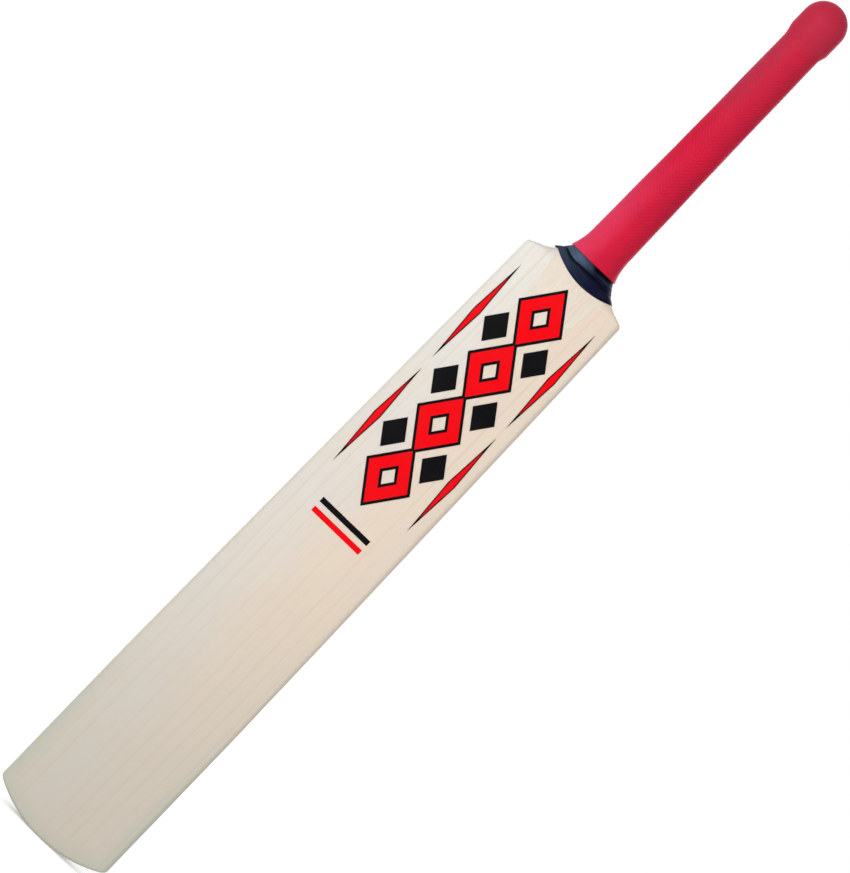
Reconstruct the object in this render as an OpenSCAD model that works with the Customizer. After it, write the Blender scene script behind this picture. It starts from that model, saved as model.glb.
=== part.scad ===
// Cricket bat: a willow blade with a spliced handle of twelve canes, bound, taped and gripped.
// Millimetres. The bat stands on its toe, +Z runs up to the handle and the face looks along -Y.

/* [Bat] */
// Length from the toe to the end of the grip
overall_l = 855; // [712:1:1030]
// Height of the shoulders above the toe
blade_l = 571; // [470:1:690]

/* [Blade] */
// Width of the lower part of the blade
toe_w = 106.4; // [88:0.2:128]
// Width of the blade just below its shoulders
shoulder_w = 95.4; // [79:0.2:115]
// Height at which the blade starts to narrow towards the shoulders
narrowing_z = 150; // [60:5:200]
// Radius of the toe's outline, seen from the front
toe_arc_r = 109; // [85:1:160]
// Rounding of the toe's rim
toe_round = 2.5; // [1.5:0.25:6]
// How far the middle of the face stands forward of its sides
face_crown = 3.5; // [1:0.25:6]
// How far the toe is bowed forward
toe_bow = 4; // [0:0.5:8]
// Height at which the bow ends and the face is straight
bow_l = 300; // [200:5:400]
// Height of the swell, where the spine is deepest
swell_z = 230; // [160:5:320]
// Depth from face to spine at the toe
toe_d = 31; // [28:0.5:40]
// Depth from face to spine at the swell
swell_d = 61; // [50:0.5:74]
// Depth from face to spine at the shoulders
shoulder_d = 39; // [36:0.5:48]
// Thickness of the blade's sides at the toe
toe_edge = 23; // [22:0.5:30]
// Thickness of the blade's sides at the swell
swell_edge = 36; // [24:0.5:40]
// Thickness of the blade's sides at the shoulders
shoulder_edge = 24; // [18:0.5:30]
// Rounding along the blade's sides
edge_round = 5; // [3:0.25:5]
// Hollowness of the two flanks behind the face: 1 is straight
flank_hollow = 1.2; // [1:0.05:1.6]
// Softness of the spine's ridge, as a share of the half width
ridge_soft = 0.11; // [0.05:0.01:0.3]

/* [Shoulders and neck] */
// Rounding of the shoulder corners
shoulder_round = 3.5; // [2:0.5:7]
// Slope of the shoulders, in degrees
shoulder_slope = 20; // [14:1:40]
// Width that the shoulders' slope aims at before it turns up into the neck
flare_w = 68; // [58:1:76]
// Height of the neck above the shoulders
neck_h = 42; // [34:1:52]
// Height above the shoulders that the neck's curve aims at
flare_h = 11; // [9:0.5:14]
// How much slimmer the handle is than the neck where the grip's lip sits
lip_seat = 0.3; // [0.2:0.05:0.5]

/* [Handle] */
// Depth of the handle's axis behind the middle of the face
handle_back = 19.2; // [17:0.1:22]
// Radius of the bare cane handle at the top of the neck
neck_r = 15.5; // [14:0.1:17]
// Radius of the bare cane handle at its end
end_r = 13.3; // [12.5:0.1:16.5]
// Rounding of the handle's end
end_round = 10; // [6:0.5:11]
// Width of the middle column of canes
cane_w = 10.4; // [8:0.2:13]
// Thickness of the two inner layers of canes, with half of each spring beside them
cane_t = 8; // [6.5:0.1:9]
// Thickness of each rubber spring
spring_t = 1.6; // [0.8:0.1:2.4]
// How far the springs reach below the shoulders into the splice
spring_depth = 55; // [20:1:60]

/* [Splice] */
// Length of the splice below the shoulders
splice_l = 156; // [130:1:190]
// Width of the splice at the shoulders
splice_w = 49; // [44:0.5:59]
// Width of the splice at its tip
splice_tip_w = 6; // [4:0.5:8]

/* [Binding and tape] */
// Thickness of the twine binding
twine_t = 0.7; // [0.4:0.1:1.2]
// Thickness of the neck tape
tape_t = 0.6; // [0.3:0.1:1]
// Height of the tape's lower edge above the shoulders, at its lowest point
tape_low = 0; // [0:0.5:4]
// Radius of the tape's lower edge, seen from the front
tape_arc_r = 58; // [50:1:90]
// How far that lowest point lies to the right of the middle
tape_shift = 5; // [-8:0.5:8]

/* [Grip] */
// Thickness of the rubber grip
grip_wall = 1.8; // [1.2:0.1:3]
// Thickness of the grip's lower lip
lip_wall = 1.2; // [0.8:0.1:2]
// Thickness of the smooth collar at the grip's end
collar_wall = 4.05; // [2.5:0.05:5]
// Length of the collar's straight stretch
collar_l = 18; // [10:0.5:24]
// Length of the ramp below the collar
collar_ramp = 4; // [2:0.5:8]
// Thickness of rubber over the end of the canes
end_wall = 4; // [3.5:0.5:6]
// Radius of the vent in the grip's end
vent_r = 4; // [2:0.5:6]
// Room between a bound or gripped layer and what it sits on
layer_gap = 0.1; // [0.05:0.05:0.2]

/* [Labels] */
// Thickness of one layer of label
label_t = 0.25; // [0.1:0.05:0.5]
// Distance of the lozenge chain's upper end below the shoulders
chain_drop = 8; // [4:1:40]
// Number of lozenges in the chain
chain_n = 4; // [2:1:4]
// Length of a chain lozenge with its edging
chain_l = 60; // [40:1:72]
// Width of a chain lozenge with its edging
chain_w = 44; // [30:1:52]
// How far the ends of two chain lozenges lap over each other
chain_lap = 6; // [5:0.5:8]
// Width of the dark edging round the lozenges
edging = 2.2; // [1:0.1:3]
// Size of the window in a chain lozenge, as a share of the lozenge
chain_window = 0.26; // [0.15:0.01:0.35]
// Length of a side lozenge
side_l = 30; // [20:1:34]
// Distance of a side lozenge's inner corner from the middle
side_inner = 9; // [7:0.5:12]
// Room between a side lozenge's outer corner and the spindles beside it
side_gap = 3.7; // [2:0.1:6]
// Length of a spindle
spindle_l = 95; // [60:1:100]
// Width of a spindle
spindle_w = 6.6; // [4:0.1:7]
// Width of the dark edging round the spindles
spindle_edging = 0.9; // [0.5:0.1:1.2]
// Distance of the spindles from the blade's sides at the shoulders
spindle_inset = 9.7; // [9:0.1:14]
// Distance between the two spindles' middles along each side
spindle_pitch = 106; // [100:1:110]
// Width of the two bars below the chain
bar_w = 48; // [30:1:64]
// Height of a bar
bar_h = 4.4; // [2:0.2:6]
// Distance of the upper bar below the end of the chain
bar_drop = 16; // [10:1:24]
// Distance from one bar to the other
bar_pitch = 9; // [7:0.5:14]

/* [Hidden] */
$fn = 96;
ROWS = ["front", "inner_front", "inner_back", "back"];
COLUMNS = ["left", "centre", "right"];
SIDES = ["left", "right"];
SPRINGS = ["front", "middle", "back"];
LABELS = [
    "backing", "lozenges", "diamonds",
    "spindle_backing_left", "spindle_backing_right", "spindles_left", "spindles_right",
    "bar_black", "bar_red"
];

willow = "wheat";
cane = "burlywood";
// Steps across half of the face, and round one rounded side
across = 6;
corner_n = 3;
// Steps along the blade below and above the swell, and up the neck to where it is round
low_n = 7;
high_n = 12;
neck_n = 10;
// Steps up the round part of the neck, and over the dome of the grip's end
round_n = 4;
dome_n = 12;
// Longer than any piece, for cutting planes and prisms
far = 2 * overall_l;

function smooth(t) = let (c = min(1, max(0, t))) c * c * (3 - 2 * c);
function mix(a, b, t) = a + (b - a) * t;
function reversed(list) = [for (i = [len(list) - 1:-1:0]) list[i]];

// The blade's sizes at a height
function half_width(z) =
    mix(toe_w, shoulder_w, max(0, (z - narrowing_z) / (blade_l - narrowing_z))) / 2;
function along_blade(toe, swell, shoulder, z) =
    z < swell_z
    ? mix(toe, swell, smooth(z / swell_z))
    : mix(swell, shoulder, smooth((z - swell_z) / (blade_l - swell_z)));
function bow(z) = toe_bow * pow(max(0, 1 - z / bow_l), 2);
// How far the toe's outline has risen at a distance from the middle, and how that fades up the blade
function toe_rise(x) = toe_arc_r - sqrt(toe_arc_r * toe_arc_r - x * x);
function toe_fade(z) = 1 - smooth(z / swell_z);

// Half of a cross-section, from the middle to the side: first the face, then the back
function face_y(x, w) = face_crown * pow(x / w, 2);
function ridge(u) =
    pow(1 - (norm([u, ridge_soft]) - ridge_soft) / (norm([1, ridge_soft]) - ridge_soft), flank_hollow);
function back_y(x, w, edge, depth) =
    mix(face_crown + edge, depth, ridge(min(1, x / w)));
function face_half(w, r) =
    let (slope = atan(2 * face_crown * (w - r) / (w * w)))
    let (x_end = w - r * (1 - sin(slope)))
    let (y_mid = face_y(x_end, w) + r * cos(slope))
    concat(
        [for (i = [0:across - 1]) let (x = x_end * i / across) [x, face_y(x, w)]],
        [for (i = [0:corner_n])
            let (a = mix(slope - 90, 0, i / corner_n))
            [w - r + r * cos(a), y_mid + r * sin(a)]]
    );
function back_half(w, r, edge, depth) =
    let (fall = back_y(w - 2 * r, w, edge, depth) - back_y(w - r, w, edge, depth))
    let (slope = atan(fall / r))
    let (x_end = w - r * (1 - sin(slope)))
    let (y_mid = back_y(x_end, w, edge, depth) - r * cos(slope))
    concat(
        [for (i = [0:across - 1]) let (x = x_end * i / across) [x, back_y(x, w, edge, depth)]],
        [for (i = [0:corner_n])
            let (a = mix(90 - slope, 0, i / corner_n))
            [w - r + r * cos(a), y_mid + r * sin(a)]]
    );
function whole(half) =
    concat([for (i = [len(half) - 1:-1:1]) [-half[i].x, half[i].y]], half);
// A closed cross-section: the face from left to right, then the back from right to left.
// Its two roundings always leave a flat stretch of the side between them
function section(w, edge, depth) =
    let (r = min(edge_round, 0.45 * edge))
    concat(whole(face_half(w, r)), reversed(whole(back_half(w, r, edge, depth))));

// The neck's outline, a curve from the shoulder corner up to the bare handle: [half width, height]
corner_start = blade_l - shoulder_round;
corner_half = half_width(blade_l);
function corner_at(a) =
    [corner_half - shoulder_round * (1 - cos(a)), corner_start + shoulder_round * sin(a)];
neck_top = blade_l + neck_h;
neck_0 = corner_at(90 - shoulder_slope);
neck_1 = [flare_w / 2, neck_0.y + (neck_0.x - flare_w / 2) * tan(shoulder_slope)];
neck_2 = [neck_r + lip_seat, blade_l + flare_h];
neck_3 = [neck_r + lip_seat, neck_top];
function neck_at(t) =
    pow(1 - t, 3) * neck_0 + 3 * t * pow(1 - t, 2) * neck_1
    + 3 * t * t * (1 - t) * neck_2 + pow(t, 3) * neck_3;
// Where the neck has become round
throat_t = 0.7;
throat = neck_at(throat_t);

// Rings of points, from the toe up to the throat
function blade_ring(z, inset = 0) =
    let (w = half_width(z) - inset)
    let (edge = along_blade(toe_edge, swell_edge, shoulder_edge, z) - 2 * inset)
    let (depth = along_blade(toe_d, swell_d, shoulder_d, z) - 2 * inset)
    [for (p = section(w, edge, depth)) [p.x, p.y + inset - bow(z), z + toe_rise(p.x) * toe_fade(z)]];
function corner_ring(a) =
    [for (p = section(corner_at(a).x, shoulder_edge, shoulder_d)) [p.x, p.y, corner_at(a).y]];
function neck_ring(t) =
    let (at = neck_at(t))
    let (round_share = smooth(t / throat_t))
    let (flat = section(at.x, shoulder_edge, shoulder_d))
    let (half_depth = mix(shoulder_d / 2, throat.x, round_share))
    [for (i = [0:len(flat) - 1])
        let (a = 180 + (i + 0.5) * 360 / len(flat))
        let (oval = [at.x * cos(a), handle_back + half_depth * sin(a)])
        let (p = mix(flat[i], oval, round_share))
        [p.x, p.y, at.y]];
// Rings of the blade are spaced by share of the way from the toe to the swell, and from there up
toe_rings = [for (a = [0:22.5:90]) blade_ring(toe_round * (1 - cos(a)), toe_round * (1 - sin(a)))];
low_rings = [for (i = [1:low_n]) blade_ring(mix(toe_round, swell_z, i / low_n))];
high_rings = [for (i = [1:high_n]) blade_ring(mix(swell_z, corner_start - 1, i / high_n))];
corner_rings = [for (a = [0:(90 - shoulder_slope) / 2:90 - shoulder_slope - 1]) corner_ring(a)];
neck_rings = [for (i = [0:neck_n]) neck_ring(throat_t * i / neck_n)];
body_rings = concat(toe_rings, low_rings, high_rings, corner_rings, neck_rings);

// Closed skin of triangles over rings of equal length. A point of a ring and the one opposite it,
// counted from the ring's other end, lie side by side on face and back, so strips close the ends.
// Fields of face and back split the same way seen from the front, so that layers lie flush
function loft_faces(ring_n, n) =
    let (sides = [for (k = [0:ring_n - 2]) for (i = [0:n - 1])
        let (a = k * n + i)
        let (b = k * n + (i + 1) % n)
        each i < n / 2
            ? [[a, a + n, b], [b, a + n, b + n]]
            : [[a, a + n, b + n], [a, b + n, b]]])
    let (low_end = [for (i = [0:n / 2 - 2])
        each [[i, i + 1, n - 1 - i], [i + 1, n - 2 - i, n - 1 - i]]])
    let (top = (ring_n - 1) * n)
    let (high_end = [for (face = low_end) [face[2] + top, face[1] + top, face[0] + top]])
    concat(sides, low_end, high_end);
module loft(rings) {
    polyhedron(
        points = [for (ring = rings) each ring],
        faces = loft_faces(len(rings), len(rings[0])),
        convexity = 6
    );
}

// Moves the blade's frame, whose face is at zero, so that the whole bat is centred front to back
module placed() {
    translate([0, (toe_bow + bow(swell_z) - swell_d) / 2, 0])
        children();
}
// A prism through the bat from front to back, drawn in the plane of the face
module through_bat() {
    translate([0, far / 2, 0])
        rotate([90, 0, 0])
            linear_extrude(far)
                children();
}
module splice_prism() {
    side_rise = (splice_w - splice_tip_w) / 2 / splice_l;
    top = throat.y + 1;
    top_half = splice_w / 2 + side_rise * (top - blade_l);
    through_bat()
        polygon([
            [-splice_tip_w / 2, blade_l - splice_l],
            [splice_tip_w / 2, blade_l - splice_l],
            [top_half, top],
            [-top_half, top]
        ]);
}

module blade() {
    color(willow)
        placed()
            difference() {
                loft(body_rings);
                splice_prism();
            }
}

// The bare handle's outline above the throat: [radius, height], ending on the axis
end_top = overall_l - end_wall;
end_start = end_top - end_round;
function neck_profile(wider) =
    [for (i = [0:round_n]) neck_at(mix(throat_t, 1, i / round_n)) + [wider - lip_seat, 0]];
function end_profile(wider) =
    [for (a = [0:15:90])
        [end_r - end_round + (end_round + wider) * cos(a), end_start + (end_round + wider) * sin(a)]];
handle_profile = concat([[0, throat.y]], neck_profile(0), end_profile(0), [[0, end_top]]);

// Everything of the handle as one form: its tongue in the splice and its round shaft
module tongue() {
    splice_rings = [for (ring = body_rings) if (ring[0].z > blade_l - 1.4 * splice_l) ring];
    intersection() {
        loft(splice_rings);
        splice_prism();
    }
}
module shaft() {
    translate([0, handle_back, 0])
        rotate_extrude()
            polygon(handle_profile);
}
// The part of the tongue and the shaft between two planes across the bat and two from front to back
module handle_cell(x0, x1, y0, y1) {
    module cell() {
        translate([x0, handle_back + y0, 0])
            cube([x1 - x0, y1 - y0, far]);
    }
    intersection() {
        tongue();
        cell();
    }
    intersection() {
        shaft();
        cell();
    }
}

// Cheeks start where the neck is as wide as the bare handle
cheek_x = max(neck_r, end_r) + lip_seat;
column_x = [-cheek_x, -cane_w / 2, cane_w / 2, cheek_x];
row_y = [-far / 2, -cane_t, 0, cane_t, far / 2];
spring_low = blade_l - spring_depth;
module spring_slab(i) {
    translate([-cheek_x, handle_back + row_y[i + 1] - spring_t / 2, spring_low])
        cube([2 * cheek_x, spring_t, far]);
}

module cane_strip(row, column) {
    color(cane)
        placed()
            difference() {
                handle_cell(column_x[column], column_x[column + 1], row_y[row], row_y[row + 1]);
                for (i = [0:2])
                    spring_slab(i);
            }
}
module splice_cheek(side) {
    color("tan")
        placed()
            if (side == 0)
                handle_cell(-far, -cheek_x, -far / 2, far / 2);
            else
                handle_cell(cheek_x, far, -far / 2, far / 2);
}
module spring(i) {
    color("dimgray")
        placed()
            intersection() {
                handle_cell(-cheek_x, cheek_x, -far / 2, far / 2);
                spring_slab(i);
            }
}

// Layers over the shaft, each at its own distance from it
twine_low = neck_at(mix(throat_t, 1, 1 / round_n)).y;
twine_in = layer_gap;
twine_out = twine_in + twine_t;
grip_in = twine_out + layer_gap;
function above(profile, z) = [for (p = profile) if (p.y >= z) p];
module twine_binding() {
    inner = concat(above(neck_profile(twine_in), twine_low), [[end_r + twine_in, end_start]]);
    outer = concat(above(neck_profile(twine_out), twine_low), [[end_r + twine_out, end_start]]);
    color("cornsilk")
        placed()
            translate([0, handle_back, 0])
                rotate_extrude()
                    polygon(concat(outer, reversed(inner)));
}

module neck_tape() {
    around = [0, handle_back];
    function widened(ring) =
        [for (p = ring)
            let (out = [p.x, p.y] - around)
            let (wide = around + out * (1 + tape_t / norm(out)))
            [wide.x, wide.y, p.z]];
    high = concat(corner_rings, neck_rings);
    color("midnightblue")
        placed()
            intersection() {
                difference() {
                    loft([for (ring = high) widened(ring)]);
                    loft(high);
                }
                translate([tape_shift, far / 2, blade_l + tape_low + tape_arc_r])
                    rotate([90, 0, 0])
                        cylinder(r = tape_arc_r, h = far);
            }
}

// The collar's straight stretch runs up to the middle of the domed end
collar_r = end_r + grip_in + collar_wall;
dome_z = overall_l - sqrt(collar_r * collar_r - vent_r * vent_r);
collar_z = dome_z - collar_l;
module grip() {
    shaft_out = [end_r + grip_in + grip_wall, collar_z - collar_ramp];
    bare = neck_profile(grip_in);
    outer = concat(
        [for (i = [0:round_n]) bare[i] + [mix(lip_wall, grip_wall, i / round_n), 0]],
        [shaft_out, [collar_r, collar_z]],
        [for (i = [0:dome_n])
            let (a = mix(0, acos(vent_r / collar_r), i / dome_n))
            [collar_r * cos(a), dome_z + collar_r * sin(a)]]
    );
    inner = concat(
        bare,
        [for (p = end_profile(grip_in)) if (p.x > vent_r) p],
        [[vent_r, end_top + grip_in]]
    );
    color("crimson")
        placed()
            translate([0, handle_back, 0])
                rotate_extrude()
                    polygon(concat(outer, reversed(inner)));
}

// Labels lie on the face as thin layers that follow its crown
chain_pitch = chain_l - chain_lap;
chain_half = ((chain_n - 1) * chain_pitch + chain_l) / 2;
chain_z = blade_l - chain_drop - chain_half;
// The spindles keep to the blade's sides, and the side lozenges fill the room up to them
spindle_x = shoulder_w / 2 - spindle_inset;
side_outer = spindle_x - spindle_w / 2 - side_gap;
module face_layer(level) {
    face_n = 2 * across + 1;
    first = corner_n;
    rings = [for (ring = concat(low_rings, high_rings)) [for (i = [0:face_n - 1]) ring[first + i]]];
    function raised(points, by) = [for (p = points) [p.x, p.y - by, p.z]];
    loft([for (ring = rings)
        concat(raised(ring, (level + 1) * label_t), reversed(raised(ring, level * label_t)))]);
}
module label(colour, level = 0) {
    color(colour)
        placed()
            intersection() {
                face_layer(level);
                through_bat()
                    children();
            }
}
// Two sizes of the same lozenge, the second drawn in by a width all round
function drawn_in(l, w, by) = let (k = 1 - 2 * by * norm([l, w]) / (l * w)) [l * k, w * k];
module lozenge(l, w) {
    polygon([[0, -l / 2], [w / 2, 0], [0, l / 2], [-w / 2, 0]]);
}
module along_chain(n) {
    for (i = [0:n - 1])
        translate([0, chain_z + (i - (n - 1) / 2) * chain_pitch])
            children();
}
module label_backing() {
    label("black")
        difference() {
            along_chain(chain_n)
                lozenge(chain_l, chain_w);
            along_chain(chain_n)
                lozenge(chain_l * chain_window, chain_w * chain_window);
        }
}
module label_lozenges() {
    red = drawn_in(chain_l, chain_w, edging);
    window = drawn_in(chain_l * chain_window, chain_w * chain_window, -edging);
    label("red", 1)
        along_chain(chain_n)
            difference() {
                lozenge(red[0], red[1]);
                lozenge(window[0], window[1]);
            }
}
module label_diamonds() {
    label("black")
        for (side = [-1, 1])
            translate([side * (side_inner + side_outer) / 2, 0])
                along_chain(chain_n - 1)
                    lozenge(side_l, side_outer - side_inner);
}
module along_side(side) {
    for (end = [-1, 1])
        translate([side * spindle_x, chain_z + end * spindle_pitch / 2])
            children();
}
module label_spindle_backing(side) {
    label("black")
        along_side(side)
            lozenge(spindle_l, spindle_w);
}
module label_spindles(side) {
    red = drawn_in(spindle_l, spindle_w, spindle_edging);
    label("red", 1)
        along_side(side)
            lozenge(red[0], red[1]);
}
module label_bar(colour, i) {
    label(colour)
        translate([-bar_w / 2, chain_z - chain_half - bar_drop - i * bar_pitch - bar_h / 2])
            square([bar_w, bar_h]);
}

blade();
for (row = [0:3]) for (column = [0:2])
    cane_strip(row, column);
for (i = [0:1])
    splice_cheek(i);
for (i = [0:2])
    spring(i);
twine_binding();
neck_tape();
grip();
label_backing();
label_lozenges();
label_diamonds();
label_spindle_backing(-1);  // label_spindle_backing_left
label_spindle_backing(1);  // label_spindle_backing_right
label_spindles(-1);  // label_spindles_left
label_spindles(1);  // label_spindles_right
label_bar("black", 0);  // label_bar_black
label_bar("red", 1);  // label_bar_red
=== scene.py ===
# %% [markdown]
# # A cricket bat, piece by piece
# A cricket bat is a willow blade with a cane handle glued into a V-shaped splice at its shoulders.
# Twine binds the canes, cloth tape covers the joint at the neck, and a ribbed rubber grip is rolled on.
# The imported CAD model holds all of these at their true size. This lesson leaves the sizes alone and gives
# what shows a finer mesh and a finish, in the same frame: metres, +Z up the bat, face towards -Y.

# %% Load the frame
import math
from functools import partial

import bpy
import numpy as np
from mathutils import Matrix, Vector


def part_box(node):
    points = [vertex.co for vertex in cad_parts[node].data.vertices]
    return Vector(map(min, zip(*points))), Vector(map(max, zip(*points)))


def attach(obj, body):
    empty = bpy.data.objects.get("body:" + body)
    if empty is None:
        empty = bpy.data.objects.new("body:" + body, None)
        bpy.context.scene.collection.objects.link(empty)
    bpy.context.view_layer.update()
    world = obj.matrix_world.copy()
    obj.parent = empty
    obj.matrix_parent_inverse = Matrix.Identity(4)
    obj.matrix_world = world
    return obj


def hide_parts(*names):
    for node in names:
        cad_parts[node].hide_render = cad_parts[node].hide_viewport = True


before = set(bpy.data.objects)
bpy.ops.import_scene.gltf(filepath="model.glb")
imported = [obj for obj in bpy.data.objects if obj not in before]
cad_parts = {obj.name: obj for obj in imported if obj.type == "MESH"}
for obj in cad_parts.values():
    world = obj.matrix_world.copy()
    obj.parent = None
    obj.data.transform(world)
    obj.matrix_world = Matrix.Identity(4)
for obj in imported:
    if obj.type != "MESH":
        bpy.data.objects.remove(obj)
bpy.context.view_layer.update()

# %% [markdown]
# ## Camera
# The photograph looks straight at the face, and the bat leans across it with its handle at the upper right.
# The bat could be laid over to match, but it keeps its own upright frame, so the camera is rolled instead.
# A long lens from three metres away keeps the two sides of the blade as parallel as the photograph shows.

# %% Camera
camera_distance = 3.0
view_height = 0.6457
view_centre = Vector((-0.0010, -0.028, 0.4113))
camera_roll = math.radians(-43.95)
lens = bpy.data.cameras.new("camera")
lens.lens = lens.sensor_width * camera_distance / view_height
camera = bpy.data.objects.new("camera", lens)
camera.location = view_centre - Vector((0, camera_distance, 0))
camera.rotation_euler = (math.radians(90), camera_roll, 0)
bpy.context.scene.collection.objects.link(camera)
bpy.context.scene.camera = camera
bpy.context.scene.view_settings.view_transform = "Standard"
print("lens of", round(lens.lens), "mm")

# %% [markdown]
# ## Lamps
# The left side of the grip is bright and its right side falls off softly, and the blade dims towards the
# toe. One large softbox at the left front, above the bat and aimed just below the shoulders, gives both. A
# weaker one fills the right, and two behind, one much stronger than the other, keep the spine readable when
# the bat is turned.

# %% Lamps
def softbox(name, place, aim, size, watts):
    """A large soft lamp at a place, turned towards a point of the bat."""
    lamp = bpy.data.lights.new(name, "AREA")
    lamp.size = size
    lamp.energy = watts
    holder = bpy.data.objects.new(name, lamp)
    holder.location = place
    holder.rotation_euler = (Vector(aim) - Vector(place)).to_track_quat("-Z", "Y").to_euler()
    bpy.context.scene.collection.objects.link(holder)


softbox("key", (-1.30, -1.80, 1.20), (0, 0, 0.52), 1.1, 30)
softbox("fill", (1.7, -1.9, 1.0), (0, 0, 0.50), 1.4, 15)
softbox("back_right", (0.7, 2.4, 1.3), (0, 0, 0.40), 1.2, 28)
softbox("back_left", (-1.7, 1.5, 1.0), (0, 0, 0.40), 1.6, 2)
print(len(bpy.data.lights), "softboxes")

# %% [markdown]
# ## Small tools for shader nodes
# A finish is a net of nodes, and making one takes the same few steps over and over: add a node, set it, wire
# it. These helpers do those steps, so that each finish below reads as what it does and not as wiring.

# %% Node helpers
def plug(tree, socket, value):
    """Wires a socket to another node's output, or sets it to a plain value."""
    if isinstance(value, bpy.types.NodeSocket):
        tree.links.new(value, socket)
    else:
        socket.default_value = value


def node(tree, kind, inputs=None, output=0, **settings):
    """Adds a shader node, fills its inputs and gives back one of its outputs."""
    made = tree.nodes.new("ShaderNode" + kind)
    for name, value in settings.items():
        setattr(made, name, value)
    for name, value in (inputs or {}).items():
        plug(tree, made.inputs[name], value)
    return made.outputs[output]


def place_in_bat(tree):
    """The X, Y and Z of a place, in the bat's frame."""
    parts = tree.nodes.new("ShaderNodeSeparateXYZ")
    plug(tree, parts.inputs[0], node(tree, "TexCoord", output="Object"))
    return [parts.outputs[axis] for axis in "XYZ"]


print("tools for adding and wiring nodes are ready")

# %% Sums of nodes
def calc(tree, operation, *values):
    """One step of arithmetic between sockets and numbers."""
    return node(tree, "Math", dict(enumerate(values)), operation=operation)


def times(tree, first, second):
    """Two values multiplied."""
    return calc(tree, "MULTIPLY", first, second)


def spread(tree, value, span, low):
    """A value from 0 to 1, spread over a span that starts at low."""
    return calc(tree, "MULTIPLY_ADD", value, span, low)


def fade(tree, value, start, end):
    """0 where a value is at start and 1 where it is at end, with soft ends."""
    span = {"Value": value, "From Min": start, "From Max": end}
    return node(tree, "MapRange", span, interpolation_type="SMOOTHSTEP")


print("tools for values are ready")

# %% Colours
# The Mix node has sockets for numbers, vectors and colours. These are the places of its colour sockets
MIX_FIRST = 6
MIX_SECOND = 7
MIX_RESULT = 2


def mixed(tree, share, first, second):
    """A colour between two colours."""
    return node(tree, "Mix", {0: share, MIX_FIRST: first, MIX_SECOND: second}, MIX_RESULT, data_type="RGBA")


def tinted(tree, base, share, strength, colour):
    """A colour with some of another one over it, by a share that changes over the surface."""
    return mixed(tree, times(tree, share, strength), base, colour)


def paint(red, green, blue):
    """A colour as a picture shows it, from 0 to 255, in the linear values that shaders use."""
    share = np.array([red, green, blue]) / 255
    linear = np.where(share <= 0.04045, share / 12.92, ((share + 0.055) / 1.055) ** 2.4)
    return (*linear.tolist(), 1.0)


print("mid grey is", round(paint(128, 128, 128)[0], 3), "in linear light")

# %% [markdown]
# ## White surroundings
# The bat is shown on plain white. Turning the lamps up until everything behind it burns out would bleach
# the willow too. So the world gives soft, plain light to the bat, and only what the camera sees of it,
# directly or in a reflection, is white. The floor is an ordinary pale surface with a glow added for the eye
# alone, just enough to be white where light falls on it, so that the bat's soft shadow remains. Far from the
# lamps it glows more.

# %% World
WHITE = (1.0, 1.0, 1.0, 1.0)
ambient_strength = 0.36


def seen_directly(tree):
    """1 for rays that show a thing to the eye, straight or mirrored, and 0 for rays that light the bat."""
    rays = tree.nodes.new("ShaderNodeLightPath").outputs
    shown = calc(tree, "ADD", rays["Is Camera Ray"], rays["Is Glossy Ray"])
    return calc(tree, "ADD", shown, rays["Is Transmission Ray"])


world = bpy.data.worlds.new("studio")
world.use_nodes = True
bpy.context.scene.world = world
sky = world.node_tree
ambient = sky.nodes["Background"]
ambient.inputs["Color"].default_value = paint(250, 252, 255)
ambient.inputs["Strength"].default_value = ambient_strength
backdrop = node(sky, "Background", {"Color": WHITE, "Strength": 1.0})
shown_world = node(sky, "MixShader", {0: seen_directly(sky), 1: ambient.outputs[0], 2: backdrop})
plug(sky, sky.nodes["World Output"].inputs["Surface"], shown_world)
print("world with", len(sky.nodes), "nodes")

# %% Floor
floor_size = 8.0
glow_near = 0.42
glow_far = 0.80
lamps_near = 0.8
lamps_far = 3.4
reach = floor_size / 2
corners = [(-reach, -reach, 0), (reach, -reach, 0), (reach, reach, 0), (-reach, reach, 0)]
floor_mesh = bpy.data.meshes.new("floor")
floor_mesh.from_pydata(corners, [], [(0, 1, 2, 3)])
floor_finish = bpy.data.materials.new("floor_white")
floor_finish.use_nodes = True
ground = floor_finish.node_tree
ground.nodes.remove(ground.nodes["Principled BSDF"])
pale = node(ground, "BsdfDiffuse", {"Color": paint(240, 240, 240)})
floor_spot = node(ground, "TexCoord", output="Object")
from_bat = node(ground, "VectorMath", {0: floor_spot}, "Value", operation="LENGTH")
strength = spread(ground, fade(ground, from_bat, lamps_near, lamps_far), glow_far - glow_near, glow_near)
shown_strength = times(ground, strength, seen_directly(ground))
glow = node(ground, "Emission", {"Color": WHITE, "Strength": shown_strength})
shown_floor = node(ground, "AddShader", {0: pale, 1: glow})
plug(ground, ground.nodes["Material Output"].inputs["Surface"], shown_floor)
floor_mesh.materials.append(floor_finish)
floor = bpy.data.objects.new("floor", floor_mesh)
bpy.context.scene.collection.objects.link(floor)
print("floor of", floor_size, "m")

# %% [markdown]
# ## The blade's form
# The blade is shaved from one cleft of willow: a slightly crowned face, two roundings along each side, and a
# spine behind that swells below the middle. A sculpted mesh would drift from the CAD, so the form is written
# as formulas in the CAD's own sizes. A walk round half of a cross-section starts in the middle of the face,
# takes 6 steps to the side, 3 round the first rounding, 1 down the side, 3 round the other and 6 along the
# back.

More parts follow.
